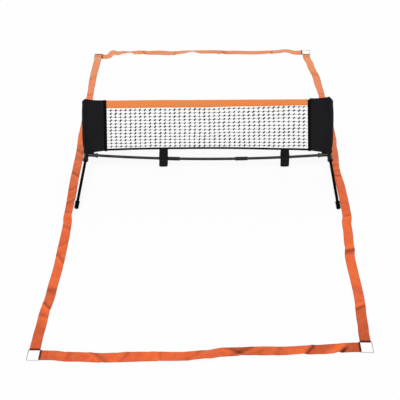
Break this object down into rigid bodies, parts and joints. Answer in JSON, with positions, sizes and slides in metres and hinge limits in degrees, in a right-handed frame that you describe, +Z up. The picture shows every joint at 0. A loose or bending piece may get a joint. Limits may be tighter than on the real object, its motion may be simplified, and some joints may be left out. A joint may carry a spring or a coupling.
{
  "type": "soccer tennis set",
  "caption": "Portable soccer tennis set: a low mesh net on a bowed pole frame, standing across a court outline of flat webbing joined at its corners by square wire rings.",
  "frame": {"origin": "on the floor, at the middle of the box round the laid-out set", "axes": "+X to the right along the net, +Y away from the court's front edge along its length, +Z up"},
  "size_m": [1.6236, 2.6258, 0.4996],
  "materials": {
    "hub_plastic": "moulded, satin black",
    "pole": "pultruded glass fibre, satin black",
    "rubber": "moulded rubber, matte black",
    "ferrule": "black coated sleeve, satin",
    "elastic_cord": "braided",
    "panel_cloth": "coated plain weave, black",
    "binding_cloth": "ribbed binding tape, black",
    "band_cloth": "plain weave, orange",
    "twine": "knotted twine, black",
    "hook_loop": "hook and loop tape, black",
    "webbing": "flat woven webbing, orange red",
    "ring_wire": "plated wire"
  },
  "bodies": {
    "set": {"hub_left": "hub_plastic", "hub_right": "hub_plastic", "crossbar_left": "pole", "crossbar_middle": "pole", "crossbar_right": "pole", "upright_left": "pole", "upright_right": "pole", "tip_left": "rubber", "tip_right": "rubber", "ferrule_left": "ferrule", "ferrule_right": "ferrule", "shock_cord": "elastic_cord", "end_panel_left": "panel_cloth", "end_panel_right": "panel_cloth", "binding_left": "binding_cloth", "binding_right": "binding_cloth", "bottom_hem": "binding_cloth", "top_band": "band_cloth", "net_mesh": "twine", "strap_left": "hook_loop", "strap_right": "hook_loop", "tape_front": "webbing", "tape_back": "webbing", "tape_left": "webbing", "tape_right": "webbing", "ring_front_left": "ring_wire", "ring_front_right": "ring_wire", "ring_back_left": "ring_wire", "ring_back_right": "ring_wire"},
    "leg_front_left": {"leg_front_left": "pole", "foot_front_left": "rubber"},
    "leg_front_right": {"leg_front_right": "pole", "foot_front_right": "rubber"},
    "leg_rear_left": {"leg_rear_left": "pole", "foot_rear_left": "rubber"},
    "leg_rear_right": {"leg_rear_right": "pole", "foot_rear_right": "rubber"}
  },
  "joints": [
    {"name": "leg_front_left_slide", "type": "slide", "parent": "set", "child": "leg_front_left", "axis": [-0.0657, -0.9637, -0.2588], "range_m": [0, 0.03]},
    {"name": "leg_front_right_slide", "type": "slide", "parent": "set", "child": "leg_front_right", "axis": [0.0522, -0.9645, -0.2588], "range_m": [0, 0.03]},
    {"name": "leg_rear_left_slide", "type": "slide", "parent": "set", "child": "leg_rear_left", "axis": [-0.0522, 0.9645, -0.2588], "range_m": [0, 0.03]},
    {"name": "leg_rear_right_slide", "type": "slide", "parent": "set", "child": "leg_rear_right", "axis": [0.0657, 0.9637, -0.2588], "range_m": [0, 0.03]}
  ]
}
